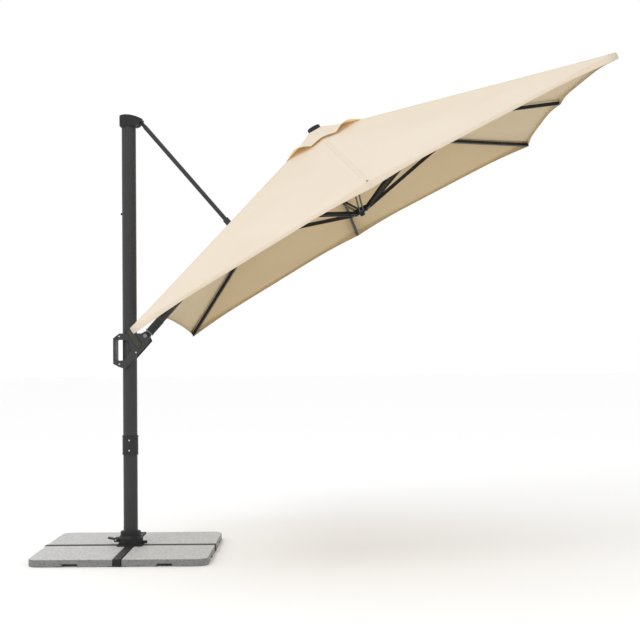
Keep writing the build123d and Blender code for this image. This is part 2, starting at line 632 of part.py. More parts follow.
def strut():
    start = STRUT_TUBE_START
    end = STRUT_LENGTH - FORK_LENGTH + FORK_SOCKET
    body = SlotOverall(STRUT_WIDTH, STRUT_HEIGHT)
    hollow = SlotOverall(STRUT_WIDTH - 2 * STRUT_WALL, STRUT_HEIGHT - 2 * STRUT_WALL)
    tube = extrude(body - hollow, amount=end - start)
    tube = Pos(start, 0, 0) * Rot(0, 90, 0) * Rot(0, 0, 90) * tube
    write(along_strut() * tube, "strut_tube")

    half = EYE_WIDTH / 2
    eye = pin_y(EYE_RADIUS, -half, half, 0, 0)
    plug_y = (STRUT_WIDTH - STRUT_HEIGHT) / 2
    plug_z = STRUT_HEIGHT / 2 - STRUT_WALL
    plug = block(0, start + EYE_PLUG_LENGTH, -plug_y, plug_y, -plug_z, plug_z)
    eye = (eye + plug) - pin_y(STRUT_PIN_RADIUS + RUN, -half, half, 0, 0)
    write(along_strut() * eye, "strut_top_eye")

    inside = ARM_RADIUS + GAP
    outside = inside + FORK_CHEEK
    fork_start = STRUT_LENGTH - FORK_LENGTH
    fork_half = FORK_HEIGHT / 2
    half_wide = STRUT_WIDTH / 2
    half_high = STRUT_HEIGHT / 2
    fork = block(fork_start, fork_start + FORK_WEB, -outside, outside, -fork_half, fork_half)
    fork -= block(0, end, -half_wide, half_wide, -half_high, half_high)
    bolts = []
    for side in (-1, 1):
        y0 = min(side * inside, side * outside)
        fork += block(fork_start, STRUT_LENGTH, y0, y0 + FORK_CHEEK, -fork_half, fork_half)
        fork += pin_y(fork_half, y0, y0 + FORK_CHEEK, STRUT_LENGTH, 0)
        head_y = min(side * outside, side * (outside + FORK_BOLT_HEAD))
        bolts.append(pin_y(FORK_BOLT_RADIUS, head_y, head_y + FORK_BOLT_HEAD, STRUT_LENGTH, 0))
    write(along_strut() * Compound(children=[fork] + bolts), "strut_fork")


# ---------------------------------------------------------------- canopy frame

def rib_tip(azimuth):
    """Radius and drop of the cloth's edge at a rib."""
    if azimuth % 90:
        return HALF * 2 ** 0.5, CORNER_DROP
    return HALF, MID_DROP


def rib_end(azimuth):
    radius, drop = rib_tip(azimuth)
    return radius - TIP_SETBACK, drop + RIB_UNDER_CLOTH


def rib_slope(azimuth):
    radius, drop = rib_end(azimuth)
    return degrees(atan2(drop - RIB_PIVOT_DROP, radius - RIB_PIVOT_RADIUS))


def attach_point(azimuth):
    """Radius and drop of the place where a stretcher meets its rib."""
    reach = CORNER_ATTACH if azimuth % 90 else MID_ATTACH
    slope = radians(rib_slope(azimuth))
    return RIB_PIVOT_RADIUS + reach * cos(slope), RIB_PIVOT_DROP + reach * sin(slope)


def ribs():
    for name, azimuth in RIBS.items():
        radius, drop = rib_end(azimuth)
        length = hypot(radius - RIB_PIVOT_RADIUS, drop - RIB_PIVOT_DROP)
        neck = CROWN_HUB_RADIUS - RIB_PIVOT_RADIUS + RIB_NECK_GAP
        bar = Pos(neck, 0, 0) * square_tube(length - neck, RIB_WIDTH, RIB_HEIGHT, RIB_WALL)
        tongue_half = RIB_TONGUE / 2
        tongue_high = RIB_TONGUE_HEIGHT / 2
        tongue = block(0, neck, -tongue_half, tongue_half, -tongue_high, tongue_high)
        inside_half = RIB_WIDTH / 2 - RIB_WALL
        inside_high = RIB_HEIGHT / 2 - RIB_WALL
        bar += block(neck, neck + RIB_PLUG_LENGTH, -inside_half, inside_half, -inside_high, inside_high)
        eye = pin_y(RIB_EYE_RADIUS, -tongue_half, tongue_half, 0, 0)
        tongue = (tongue + eye) - pin_y(RIB_PIN_RADIUS + RUN, -tongue_half, tongue_half, 0, 0)
        half_wide = RIB_WIDTH / 2
        half_high = RIB_HEIGHT / 2
        tip = block(length, length + TIP_LENGTH, -half_wide, half_wide, -half_high, half_high)
        group = Compound(children=[bar + tongue, tip])
        place = in_canopy() * Rot(0, 0, azimuth) * Pos(RIB_PIVOT_RADIUS, 0, -RIB_PIVOT_DROP)
        write(place * Rot(0, rib_slope(azimuth), 0) * group, f"rib_{name}")


def stretchers():
    for name, azimuth in RIBS.items():
        radius, drop = attach_point(azimuth)
        length = hypot(radius - RUNNER_PIVOT_RADIUS, RUNNER_DROP - drop)
        slope = degrees(atan2(RUNNER_DROP - drop, radius - RUNNER_PIVOT_RADIUS))
        bars = []
        for side in (-1, 1):
            y0 = RIB_WIDTH / 2 + GAP
            y1 = y0 + STRETCHER_THICKNESS
            half_high = STRETCHER_HEIGHT / 2
            bar = block(0, length, y0, y1, -half_high, half_high)
            bar += pin_y(half_high, y0, y1, 0, 0)
            bar += pin_y(half_high, y0, y1, length, 0)
            bar += pin_y(RIVET_RADIUS, y1, y1 + RIVET_HEAD, length, 0)
            bar -= pin_y(RIB_PIN_RADIUS + RUN, y0, y1, 0, 0)
            if side < 0:
                bar = mirror(bar, Plane.XZ)
            bars.append(bar)
        place = in_canopy() * Rot(0, 0, azimuth) * Pos(RUNNER_PIVOT_RADIUS, 0, -RUNNER_DROP)
        write(place * Rot(0, -slope, 0) * Compound(children=bars), f"stretcher_{name}")


def crown_hub():
    z1 = -RIB_PIVOT_DROP + CROWN_HUB_HEIGHT / 2
    z0 = z1 - CROWN_HUB_HEIGHT
    hub = disc(CROWN_HUB_RADIUS, z0, z1)
    pins = []
    slot_half = RIB_TONGUE / 2 + GAP
    pin_half = slot_half + HUB_PIN_GRIP
    slot_start = RIB_PIVOT_RADIUS - HUB_SLOT_BEHIND
    for azimuth in RIBS.values():
        turn = Rot(0, 0, azimuth)
        hub -= turn * block(slot_start, 2 * CROWN_HUB_RADIUS, -slot_half, slot_half, z0, z1 - HUB_SLOT_ROOF)
        pin = turn * pin_y(RIB_PIN_RADIUS, -pin_half, pin_half, RIB_PIVOT_RADIUS, -RIB_PIVOT_DROP)
        hub -= pin
        pins.append(pin)
    write(in_canopy() * hub, "crown_hub")
    write(in_canopy() * Compound(children=pins), "rib_pins")

    arm_space = along_arm() * disc(ARM_RADIUS, 0, ARM_END)
    socket = along_arm() * disc(ARM_RADIUS + SOCKET_WALL, ARM_END - SOCKET_LENGTH, ARM_END + SOCKET_END)
    neck = along_arm() * disc(NECK_RADIUS, ARM_END, ARM_LENGTH)
    neck += in_canopy() * disc(NECK_BOSS_RADIUS, z0 - NECK_BOSS_HEIGHT, z0)
    hub_space = in_canopy() * disc(CROWN_HUB_RADIUS, z0, z1 + CROWN_HUB_HEIGHT)
    bracket = (socket + neck) - arm_space - hub_space
    write(bracket, "crown_bracket")

    cap_z0 = VENT_TOP_Z + 2 * CLOTH_GAP
    stem = disc(FINIAL_STEM, z1, cap_z0)
    cap = disc(FINIAL_RADIUS, cap_z0, cap_z0 + FINIAL_HEIGHT)
    cap = fillet(cap.faces().sort_by(Axis.Z)[-1].edges(), FINIAL_EDGE)
    write(in_canopy() * (stem + cap), "finial")


def runner():
    z1 = -RUNNER_DROP + RUNNER_HEIGHT / 2
    z0 = z1 - RUNNER_HEIGHT
    hub = disc(RUNNER_RADIUS, z0, z1)
    lug_half = RIB_WIDTH / 2
    pins = []
    lug_high = RUNNER_EYE_RADIUS
    lug_z0 = -RUNNER_DROP - lug_high
    lug_z1 = -RUNNER_DROP + lug_high
    pin_half = lug_half + GAP + STRETCHER_THICKNESS + RUNNER_PIN_END
    for azimuth in RIBS.values():
        turn = Rot(0, 0, azimuth)
        lug = block(RUNNER_LUG_START, RUNNER_PIVOT_RADIUS, -lug_half, lug_half, lug_z0, lug_z1)
        lug += pin_y(lug_high, -lug_half, lug_half, RUNNER_PIVOT_RADIUS, -RUNNER_DROP)
        hub += turn * lug
        pin = turn * pin_y(RIB_PIN_RADIUS, -pin_half, pin_half, RUNNER_PIVOT_RADIUS, -RUNNER_DROP)
        hub -= pin
        pins.append(pin)
    write(in_canopy() * hub, "runner_hub")
    write(in_canopy() * Compound(children=pins), "runner_pins")
    knob = disc(KNOB_RADIUS, z0 - KNOB_HEIGHT, z0)
    knob = fillet(knob.faces().sort_by(Axis.Z)[0].edges(), KNOB_EDGE)
    write(in_canopy() * knob, "runner_knob")


# ---------------------------------------------------------------- cloth

def edge_point(azimuth):
    """The cloth's rim at a rib, or at the middle of the mast side."""
    radius, drop = rib_tip(azimuth)
    if azimuth == MAST_SIDE:
        drop = MAST_MID_DROP
    x = radius * cos(radians(azimuth))
    y = radius * sin(radians(azimuth))
    return Vector(x, y, -drop)


def cloth_piece(corners):
    """A thin flat prism over four corners of one plane."""
    face = Face(Wire.make_polygon(corners, close=True))
    normal = face.normal_at()
    if normal.Z < 0:
        normal = normal * -1
    return Solid.extrude(face, normal * CLOTH)


def half_panel(azimuth, neighbour):
    """The cloth from a rib to half way towards the next rib, or to the middle of the mast side."""
    inner = VENT_HOLE / HALF
    tip = edge_point(azimuth)
    if abs(neighbour - azimuth) == 90:
        middle = edge_point(MAST_SIDE)
    else:
        middle = (tip + edge_point(neighbour)) * 0.5
    across = (middle - tip).normalized() * CLOTH_GAP
    corners = [tip * inner + across, tip + across, middle - across, middle * inner - across]
    return cloth_piece(corners)


def canopy_panels():
    order = list(RIBS.values())
    for index, (name, azimuth) in enumerate(RIBS.items()):
        after = order[(index + 1) % len(order)]
        before = order[index - 1]
        pair = [half_panel(azimuth, after), half_panel(azimuth, before)]
        if name.startswith("mast"):
            slit = block(-SLIT_END, -SLIT_START, -STRUT_WIDTH, STRUT_WIDTH, -HALF, HALF)
            pair = [piece - slit for piece in pair]
        write(in_canopy() * Compound(children=pair), f"cloth_{name}")


def vent_canopy():
    slope = MID_DROP / HALF
    half = VENT_SIDE / 2
    base = Pos(0, 0, -half * slope + VENT_LIFT)
    top = Pos(0, 0, VENT_TOP_Z)
    inner_half = half - VENT_WALL
    inner_top = VENT_TOP_HALF - VENT_WALL
    rim = base * Rectangle(2 * half, 2 * half)
    crown = top * Rectangle(2 * VENT_TOP_HALF, 2 * VENT_TOP_HALF)
    inner_rim = base * Rectangle(2 * inner_half, 2 * inner_half)
    inner_crown = top * Rectangle(2 * inner_top, 2 * inner_top)
    vent = loft([rim, crown]) - loft([inner_rim, inner_crown])
    vent -= disc(FINIAL_STEM + GAP, -VENT_LIFT, VENT_LIFT)
    write(in_canopy() * vent, "vent_canopy")


os.makedirs("parts", exist_ok=True)
cross_bars()
bar_end_caps()
slabs()
centre_plate()
swivel_housing()
foot_pedal()
mast()
mast_cap()
carriage()
release_lever()
arm()
strut()
ribs()
stretchers()
crown_hub()
runner()
canopy_panels()
vent_canopy()
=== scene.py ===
import bpy
import bmesh
import json
from math import cos, pi, radians, sin
from mathutils import Matrix, Vector


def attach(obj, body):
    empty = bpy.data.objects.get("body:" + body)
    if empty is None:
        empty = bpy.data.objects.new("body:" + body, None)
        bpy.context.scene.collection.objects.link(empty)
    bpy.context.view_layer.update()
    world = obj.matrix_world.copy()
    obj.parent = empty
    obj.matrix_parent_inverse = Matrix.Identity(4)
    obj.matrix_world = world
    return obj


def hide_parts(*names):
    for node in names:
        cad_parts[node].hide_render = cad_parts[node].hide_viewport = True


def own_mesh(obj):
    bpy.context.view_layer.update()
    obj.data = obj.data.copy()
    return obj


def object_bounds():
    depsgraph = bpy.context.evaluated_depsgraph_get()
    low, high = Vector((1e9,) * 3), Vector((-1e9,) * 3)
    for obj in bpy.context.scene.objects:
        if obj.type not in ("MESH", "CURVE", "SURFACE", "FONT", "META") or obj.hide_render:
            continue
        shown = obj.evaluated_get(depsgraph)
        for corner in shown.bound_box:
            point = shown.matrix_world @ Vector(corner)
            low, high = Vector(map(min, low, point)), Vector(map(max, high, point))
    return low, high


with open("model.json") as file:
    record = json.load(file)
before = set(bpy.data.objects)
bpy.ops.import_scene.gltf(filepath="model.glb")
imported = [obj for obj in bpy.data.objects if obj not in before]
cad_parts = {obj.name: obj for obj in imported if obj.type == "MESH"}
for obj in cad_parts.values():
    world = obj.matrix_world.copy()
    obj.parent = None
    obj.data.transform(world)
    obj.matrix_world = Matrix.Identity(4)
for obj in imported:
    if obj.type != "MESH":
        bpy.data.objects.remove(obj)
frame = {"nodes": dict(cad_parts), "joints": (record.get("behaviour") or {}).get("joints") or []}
cad_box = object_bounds()

# ---- Camera ----
# A long lens at chest height, seven metres off, looking square on to the mast and canopy.
lens_fov = 28.62
camera_place = (1.1705, -7.4392, 1.2245)
camera_turns = {"Z": 0.317, "X": 1.066, "Y": 0.459}
camera_reach = 200.0
camera_data = bpy.data.cameras.new("camera")
camera_data.sensor_fit = "HORIZONTAL"
camera_data.angle = radians(lens_fov)
camera_data.clip_end = camera_reach
camera = bpy.data.objects.new("camera", camera_data)
bpy.context.collection.objects.link(camera)
camera_turn = Matrix.Identity(4)
for axis, degrees in camera_turns.items():
    camera_turn = camera_turn @ Matrix.Rotation(radians(degrees), 4, axis)
camera.matrix_world = Matrix.Translation(camera_place) @ camera_turn @ Matrix.Rotation(pi / 2, 4, "X")
bpy.context.scene.camera = camera
bpy.context.scene.view_settings.view_transform = "Standard"

# ---- Studio ----
# A plain white floor and sky, with one large soft key from the upper left and a weak fill.
floor_half = 40.0
floor_gap = 0.0005
floor_grey = 0.98
world = bpy.data.worlds.new("studio_sky")
world.use_nodes = True
sky = world.node_tree.nodes["Background"]
sky.inputs["Color"].default_value = (1.0, 1.0, 1.0, 1.0)
sky.inputs["Strength"].default_value = 1.0
bpy.context.scene.world = world


def soft_light(name, energy, size, place, aim):
    data = bpy.data.lights.new(name, "AREA")
    data.energy = energy
    data.shape = "DISK"
    data.size = size
    light = bpy.data.objects.new(name, data)
    bpy.context.collection.objects.link(light)
    direction = Vector(aim) - Vector(place)
    light.matrix_world = Matrix.Translation(place) @ direction.to_track_quat("-Z", "Y").to_matrix().to_4x4()


soft_light("key_light", 110.0, 3.0, (-2.5, -4.5, 6.5), (1.0, 0.0, 1.6))
soft_light("fill_light", 15.0, 4.0, (5.5, -4.5, 3.0), (1.0, 0.0, 1.5))

floor_mesh = bmesh.new()
bmesh.ops.create_grid(floor_mesh, x_segments=1, y_segments=1, size=floor_half)
floor_data = bpy.data.meshes.new("floor")
floor_mesh.to_mesh(floor_data)
floor_mesh.free()
floor_data.transform(Matrix.Translation((0.0, 0.0, cad_box[0][2] - floor_gap)))
floor = bpy.data.objects.new("floor", floor_data)
bpy.context.collection.objects.link(floor)
floor_paint = bpy.data.materials.new("floor_paint")
floor_paint.use_nodes = True
floor_shader = floor_paint.node_tree.nodes["Principled BSDF"]
floor_shader.inputs["Base Color"].default_value = (floor_grey, floor_grey, floor_grey, 1.0)
floor_shader.inputs["Roughness"].default_value = 0.9
floor_data.materials.append(floor_paint)


# ---- Powder coated tubes ----
# The mast, sleeve, arm and strut are aluminium tube with a fine anthracite powder coat,
# slightly orange-peeled, with a soft sheen and a faint random mottle in tone and roughness.
def link(tree, start, output, end, socket):
    tree.links.new(start.outputs[output], end.inputs[socket])


def make_grain_group():
    """Fine surface grain: a bump and a mottle that both come from object coordinates."""
    group = bpy.data.node_groups.new("fine_grain", "ShaderNodeTree")
    for label, usual in (("Scale", 300.0), ("Depth", 0.1), ("Mottle Scale", 4.0)):
        socket = group.interface.new_socket(label, in_out="INPUT", socket_type="NodeSocketFloat")
        socket.default_value = usual
    group.interface.new_socket("Mottle", in_out="OUTPUT", socket_type="NodeSocketFloat")
    group.interface.new_socket("Normal", in_out="OUTPUT", socket_type="NodeSocketVector")
    start = group.nodes.new("NodeGroupInput")
    end = group.nodes.new("NodeGroupOutput")
    place = group.nodes.new("ShaderNodeTexCoord")
    fine = group.nodes.new("ShaderNodeTexNoise")
    fine.inputs["Detail"].default_value = 2.0
    broad = group.nodes.new("ShaderNodeTexNoise")
    broad.inputs["Detail"].default_value = 5.0
    bump = group.nodes.new("ShaderNodeBump")
    bump.inputs["Distance"].default_value = 0.0004
    link(group, place, "Object", fine, "Vector")
    link(group, place, "Object", broad, "Vector")
    link(group, start, "Scale", fine, "Scale")
    link(group, start, "Mottle Scale", broad, "Scale")
    link(group, start, "Depth", bump, "Strength")
    link(group, fine, "Fac", bump, "Height")
    link(group, broad, "Fac", end, "Mottle")
    link(group, bump, "Normal", end, "Normal")
    return group


fine_grain = make_grain_group()


def coated(name, dark, light, rough, metal=0.0, coat=0.0, scale=320.0, depth=0.25, mottle=5.0):
    """A finish whose colour and roughness drift gently between two values."""
    finish = bpy.data.materials.new(name)
    finish.use_nodes = True
    tree = finish.node_tree
    shader = tree.nodes["Principled BSDF"]
    shader.inputs["Metallic"].default_value = metal
    shader.inputs["Coat Weight"].default_value = coat
    shader.inputs["Coat Roughness"].default_value = 0.35
    shader.inputs["Specular IOR Level"].default_value = 0.5 if metal else 0.22
    grain = tree.nodes.new("ShaderNodeGroup")
    grain.node_tree = fine_grain
    grain.inputs["Scale"].default_value = scale
    grain.inputs["Depth"].default_value = depth
    grain.inputs["Mottle Scale"].default_value = mottle
    tint = tree.nodes.new("ShaderNodeMix")
    tint.data_type = "RGBA"
    tint.inputs["A"].default_value = (*dark, 1.0)
    tint.inputs["B"].default_value = (*light, 1.0)
    wear = tree.nodes.new("ShaderNodeMapRange")
    wear.inputs["To Min"].default_value = rough - 0.06
    wear.inputs["To Max"].default_value = rough + 0.08
    link(tree, grain, "Mottle", tint, "Factor")
    link(tree, tint, "Result", shader, "Base Color")
    link(tree, grain, "Mottle", wear, "Value")
    link(tree, wear, "Result", shader, "Roughness")
    link(tree, grain, "Normal", shader, "Normal")
    return finish


def dress(nodes, finish):
    for name in nodes:
        data = frame["nodes"][name].data
        data.materials.clear()
        data.materials.append(finish)


powder_coat = coated("anthracite_powder_coat", (0.030, 0.031, 0.032), (0.042, 0.043, 0.044), rough=0.45,
                     coat=0.1)
dress(["mast_lower_tube", "mast_upper_tube", "arm_tube", "strut_tube", "strut_top_eye", "strut_fork"],
      powder_coat)
sleeve_coat = coated("sleeve_powder_coat", (0.020, 0.021, 0.022), (0.030, 0.031, 0.033), rough=0.52,
                     coat=0.05)
dress(["mast_joint_sleeve", "arm_sleeve", "arm_knuckle", "crown_bracket"], sleeve_coat)

# ---- Moulded parts ----
# Cap, hub, foot collar, pedal and carriage are glass-filled nylon with a fine spark-eroded
# grain. They are black, apart from the carriage, which is a shade lighter.
black_nylon = coated("black_nylon", (0.012, 0.012, 0.013), (0.024, 0.024, 0.026), rough=0.52, coat=0.05,
                     scale=700.0, depth=0.45, mottle=9.0)
dress(["bar_end_caps", "swivel_housing", "mast_foot_collar", "mast_cap", "foot_pedal", "runner_hub",
       "runner_knob", "crown_hub", "finial", "carriage_stop"], black_nylon)
carriage_nylon = coated("carriage_nylon", (0.036, 0.037, 0.038), (0.050, 0.051, 0.052), rough=0.50,
                        coat=0.05, scale=700.0, depth=0.4, mottle=9.0)
dress(["carriage_cheeks", "handle_grip"], carriage_nylon)
lever_nylon = coated("lever_nylon", (0.040, 0.042, 0.030), (0.056, 0.058, 0.042), rough=0.50, coat=0.05,
                     scale=600.0, depth=0.4, mottle=9.0)
dress(["release_lever"], lever_nylon)
bush_plastic = coated("bush_plastic", (0.16, 0.16, 0.155), (0.22, 0.22, 0.21), rough=0.45, scale=500.0,
                      depth=0.2, mottle=9.0)
dress(["guide_bushes", "swivel_bearings", "twist_ring"], bush_plastic)

# ---- Bright fasteners ----
# Zinc-plated screws, bolts and pins, turned and lightly brushed.
zinc = coated("zinc_plate", (0.50, 0.50, 0.51), (0.66, 0.66, 0.67), rough=0.30, metal=1.0, scale=900.0,
              depth=0.3, mottle=30.0)
dress(["hub_bolts", "mast_joint_screws", "carriage_screws", "pedal_pin", "strut_top_pin",
       "rib_pins", "runner_pins"], zinc)
dull_steel = coated("dull_steel", (0.16, 0.16, 0.16), (0.24, 0.24, 0.24), rough=0.35, scale=900.0,
                    depth=0.3, mottle=30.0)
dress(["arm_pivot_bolt"], dull_steel)

# ---- Ribs, stretchers and cross base ----
# Thin steel sections with a black stove enamel; the cross base is the same, a little greyer.
rib_enamel = coated("rib_enamel", (0.009, 0.009, 0.010), (0.017, 0.017, 0.018), rough=0.42, coat=0.15)
dress([node for node in frame["nodes"] if node.startswith(("rib_", "stretcher_")) and node != "rib_pins"],
      rib_enamel)
base_enamel = coated("base_enamel", (0.022, 0.022, 0.023), (0.034, 0.034, 0.036), rough=0.55, scale=260.0,
                     depth=0.5, mottle=8.0)
dress(["long_cross_bar", "short_cross_bars", "centre_plate"], base_enamel)


# ---- Weight slabs ----
# Four saw-cut granite slabs with a honed top: pale grey with dark and white crystals,
# darker on the sides below the top face, where the colour holds painted shade.
slab_edge_start = 0.0385
slab_edge_end = 0.0410
# Painted shade on the slabs' sides: their colour is multiplied by this value.
painted_side_shade = 0.37
granite_dark = (0.16, 0.16, 0.165, 1.0)
granite_mid = (0.46, 0.46, 0.46, 1.0)
granite_pale = (0.66, 0.66, 0.655, 1.0)
cloud_dark = (0.40, 0.40, 0.405, 1.0)
cloud_pale = (0.66, 0.66, 0.65, 1.0)


def make_granite():
    stone = bpy.data.materials.new("honed_granite")
    stone.use_nodes = True
    tree = stone.node_tree
    shader = tree.nodes["Principled BSDF"]
    place = tree.nodes.new("ShaderNodeTexCoord")
    crystals = tree.nodes.new("ShaderNodeTexVoronoi")
    crystals.inputs["Scale"].default_value = 130.0
    clouds = tree.nodes.new("ShaderNodeTexNoise")
    clouds.inputs["Scale"].default_value = 38.0
    clouds.inputs["Detail"].default_value = 8.0
    clouds.inputs["Roughness"].default_value = 0.75
    crystal_tone = tree.nodes.new("ShaderNodeValToRGB")
    ramp = crystal_tone.color_ramp
    ramp.elements[0].position = 0.05
    ramp.elements[0].color = granite_dark
    ramp.elements[1].position = 0.95
    ramp.elements[1].color = granite_pale
    ramp.elements.new(0.28).color = granite_mid
    cloud_tone = tree.nodes.new("ShaderNodeValToRGB")
    cloud_tone.color_ramp.elements[0].position = 0.30
    cloud_tone.color_ramp.elements[0].color = cloud_dark
    cloud_tone.color_ramp.elements[1].position = 0.72
    cloud_tone.color_ramp.elements[1].color = cloud_pale
    mix = tree.nodes.new("ShaderNodeMix")
    mix.data_type = "RGBA"
    mix.inputs["Factor"].default_value = 0.60
    bump = tree.nodes.new("ShaderNodeBump")
    bump.inputs["Distance"].default_value = 0.0006
    bump.inputs["Strength"].default_value = 0.35
    for texture in (crystals, clouds):
        link(tree, place, "Object", texture, "Vector")
    link(tree, crystals, "Color", crystal_tone, "Fac")
    link(tree, clouds, "Fac", cloud_tone, "Fac")
    link(tree, cloud_tone, "Color", mix, "A")
    link(tree, crystal_tone, "Color", mix, "B")
    parts = tree.nodes.new("ShaderNodeSeparateXYZ")
    side_mask = tree.nodes.new("ShaderNodeMapRange")
    side_mask.inputs["From Min"].default_value = slab_edge_start
    side_mask.inputs["From Max"].default_value = slab_edge_end
    side_mask.inputs["To Min"].default_value = 1.0
    side_mask.inputs["To Max"].default_value = 0.0
    # Painted shade: the colour is darkened on the sides below the top face.
    painted_side_mix = tree.nodes.new("ShaderNodeMix")
    painted_side_mix.data_type = "RGBA"
    painted_side_mix.blend_type = "MULTIPLY"
    painted_side_mix.inputs["B"].default_value = (painted_side_shade, painted_side_shade, painted_side_shade, 1.0)
    link(tree, place, "Object", parts, "Vector")
    link(tree, parts, "Z", side_mask, "Value")
    link(tree, side_mask, "Result", painted_side_mix, "Factor")
    link(tree, mix, "Result", painted_side_mix, "A")
    link(tree, painted_side_mix, "Result", shader, "Base Color")
    link(tree, crystals, "Distance", bump, "Height")
    link(tree, bump, "Normal", shader, "Normal")
    shader.inputs["Roughness"].default_value = 0.55
    return stone


dress(["slabs"], make_granite())


# ---- Canopy cloth ----
# Woven polyester gores, cream, the inside painted a darker tan as painted shade and painted light shining
# through, sewn together over the ribs with a flat felled seam and turned up at the rim in a stitched hem.
joints = {joint["name"]: joint for joint in frame["joints"]}
canopy_up = -Vector(joints["runner_slide"]["axis"]).normalized()
far_pivot = Vector(joints["rib_fold_far"]["pos_m"])
near_pivot = Vector(joints["rib_fold_near"]["pos_m"])
outer_pivot = Vector(joints["rib_fold_outer"]["pos_m"])
hub_middle = (far_pivot + near_pivot) / 2
canopy_out = (outer_pivot - hub_middle).normalized()
canopy_far = (far_pivot - hub_middle).normalized()
rib_pivot_drop = 0.038
apex = hub_middle + canopy_up * rib_pivot_drop
half_side = 1.35
corner_drop = 0.595
middle_drop = 0.550
mast_side_drop = 0.487
vent_hole = 0.14 / half_side
cloth_lift = 0.0008
slit_middle = 0.715
slit_half_length = 0.17
slit_half_width = 0.060
slit_ease = 3
scallop = 0.014
scallop_ease = 6
side_hollow = 0.022
mast_side_hollow = 0.012
hollow_ease = 0.8
hem_depth = 0.014
hem_turn = 0.55
hem_tuck = 0.998
rib_hem = 0.019
rib_hem_spread = 0.28
corner_reach = 0.006
corner_ease = 12
gore_rows = 44
side_steps = 12
mast_side_steps = 22


def canopy_place(x, y, z):
    return apex + canopy_out * x + canopy_far * y + canopy_up * z


def rim_corner(azimuth):
    """The rim at a rib, or at the middle of the mast side."""
    if azimuth % 90:
        reach = half_side * 2 ** 0.5
        drop = corner_drop
    else:
        reach = half_side
        drop = mast_side_drop if azimuth == 180 else middle_drop
    return Vector((reach * cos(radians(azimuth)), reach * sin(radians(azimuth)), -drop))


def cloth_point(rib, other, across, share):
    """A place on the cloth: across runs from the rib to the next rim corner, share from apex to rim."""
    mast_side = other == 180
    bow = 4 * across * (1 - across)
    start = rim_corner(rib)
    end = rim_corner(other)
    point = start.lerp(end, across)
    if mast_side:
        point.z = start.z + (end.z - start.z) * sin(across * pi / 2)
    pull = 1 - (0.0 if mast_side else scallop) * bow * share ** scallop_ease
    point.x *= share * pull
    point.y *= share * pull
    point.z *= share
    if across == 0.0 and rib % 90:
        point.x *= 1 + corner_reach * share ** corner_ease
        point.y *= 1 + corner_reach * share ** corner_ease
    hollow = mast_side_hollow if mast_side else side_hollow
    point.z -= hollow * bow * sin(pi * min(1.0, share)) ** hollow_ease
    point.z += cloth_lift
    if mast_side:
        near_slit = max(0.0, 1 - ((abs(point.x) - slit_middle) / slit_half_length) ** 2)
        point.y += slit_half_width * near_slit * across ** slit_ease * (1 if rib == 135 else -1)
    return point


def gore_columns(rib, other):
    limit = 1.0 if other == 180 else 0.5
    steps = mast_side_steps if other == 180 else side_steps
    return [limit * i / steps for i in range(1, steps + 1)]


def sewn_rows(name, sheet, map_layer, grid, places):
    """Join rows of vertices into one smooth sheet that faces up, with the weave's map on it."""
    for upper, lower in zip(grid, grid[1:]):
        for i in range(len(upper) - 1):
            face = sheet.faces.new((upper[i], lower[i], lower[i + 1], upper[i + 1]))
            face.smooth = True
            for loop in face.loops:
                loop[map_layer].uv = places[loop.vert]
    bmesh.ops.recalc_face_normals(sheet, faces=sheet.faces)
    sheet.faces.ensure_lookup_table()
    if sheet.faces[len(sheet.faces) // 3].normal.dot(canopy_up) < 0:
        bmesh.ops.reverse_faces(sheet, faces=sheet.faces)
    for edge in sheet.edges:
        edge.smooth = not edge.is_boundary
    data = bpy.data.meshes.new(name)
    sheet.to_mesh(data)
    sheet.free()
    return data


def cloth_mesh(name, rib, before, after):
    """The cloth from half way before a rib to half way after it, as one sheet with a hem."""
    sheet = bmesh.new()
    map_layer = sheet.loops.layers.uv.new("cloth")
    places = {}
    columns = [(before, a) for a in reversed(gore_columns(rib, before))]
    columns += [(after, 0.0)]
    columns += [(after, a) for a in gore_columns(rib, after)]
    rows = [(vent_hole + (1 - vent_hole) * i / gore_rows, 0.0, 1.0) for i in range(gore_rows + 1)]
    rows += [(1.0, hem_turn, 1.0), (1.0, 1.0, hem_tuck)]
    grid = []
    for share, turned, tuck in rows:
        line = []
        for other, across in columns:
            depth = hem_depth + rib_hem * max(0.0, 1 - across / rib_hem_spread) ** 2
            local = cloth_point(rib, other, across, share)
            local.x *= tuck
            local.y *= tuck
            local.z -= depth * turned
            length = share + depth * turned
            side = -1 if other == before else 1
            wide = (rim_corner(other) - rim_corner(rib)).length * across * min(1.0, length)
            vertex = sheet.verts.new(canopy_place(*local))
            places[vertex] = (side * wide, length * half_side)
            line.append(vertex)
        grid.append(line)
    return sewn_rows(name, sheet, map_layer, grid, places)


seam_half_width = 0.011
seam_fade = 0.003


